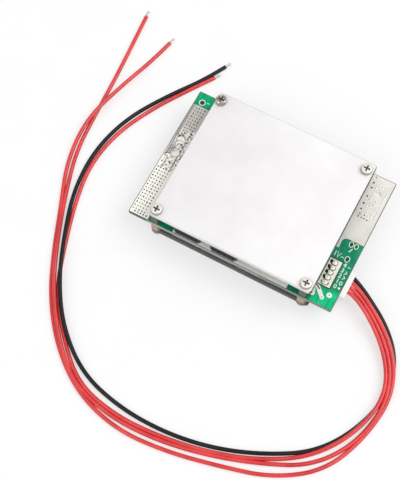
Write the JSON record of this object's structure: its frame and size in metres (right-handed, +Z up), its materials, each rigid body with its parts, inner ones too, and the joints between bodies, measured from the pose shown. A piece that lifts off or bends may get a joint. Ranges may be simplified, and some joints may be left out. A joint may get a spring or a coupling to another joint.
{
  "type": "battery management board",
  "caption": "Power circuit board between two aluminium heat-spreading plates, with bare end terminals and sense leads on a side plug.",
  "frame": {"origin": "under the middle of the board's outline, on the surface that the lower screw heads rest on", "axes": "+X along the board to the header end, +Y to its back edge, +Z up out of the upper plate"},
  "size_m": [0.1479, 0.1486, 0.0188],
  "materials": {
    "board_laminate": "green solder resist over glass laminate",
    "tinned_copper": "reflowed tin-lead solder over copper",
    "plate_aluminium": "satin rolled sheet",
    "screw_steel": "nickel-plated steel",
    "standoff_brass": "turned brass",
    "package_epoxy": "moulded black epoxy",
    "package_metal": "tin-plated copper",
    "thermal_silicone": "silicone thermal pad",
    "resistor_ceramic": "glazed chip resistor",
    "capacitor_ceramic": "fired ceramic",
    "shunt_metal": "manganese-copper strip",
    "housing_nylon": "moulded natural nylon",
    "contact_metal": "tin-plated bronze",
    "solder": "bright solder",
    "black_insulation": "extruded black insulation",
    "red_insulation": "extruded red insulation"
  },
  "bodies": {
    "root": {"circuit_board": "board_laminate", "left_terminal_lands": "tinned_copper", "right_terminal_lands": "tinned_copper", "upper_bus_lands": "tinned_copper", "lower_bus_lands": "tinned_copper", "corner_traces": "tinned_copper", "upper_plate": "plate_aluminium", "lower_plate": "plate_aluminium", "upper_standoffs": "standoff_brass", "lower_standoffs": "standoff_brass", "upper_screws": "screw_steel", "lower_screws": "screw_steel", "upper_package_bodies": "package_epoxy", "upper_package_tabs": "package_metal", "upper_package_leads": "package_metal", "upper_thermal_pads": "thermal_silicone", "lower_package_bodies": "package_epoxy", "lower_package_tabs": "package_metal", "lower_package_leads": "package_metal", "lower_thermal_pads": "thermal_silicone", "protection_chip": "package_epoxy", "chip_pins": "package_metal", "balance_resistors": "resistor_ceramic", "balance_switches": "package_epoxy", "filter_capacitors": "capacitor_ceramic", "current_shunts": "shunt_metal", "header_housing": "housing_nylon", "header_pins": "contact_metal", "solder_joints": "solder", "plug_housing": "housing_nylon", "plug_contacts": "contact_metal", "black_wire": "black_insulation", "red_wire_1": "red_insulation", "red_wire_2": "red_insulation", "red_wire_3": "red_insulation", "black_strands": "contact_metal", "red_strands_1": "contact_metal", "red_strands_2": "contact_metal", "red_strands_3": "contact_metal"}
  },
  "joints": []
}
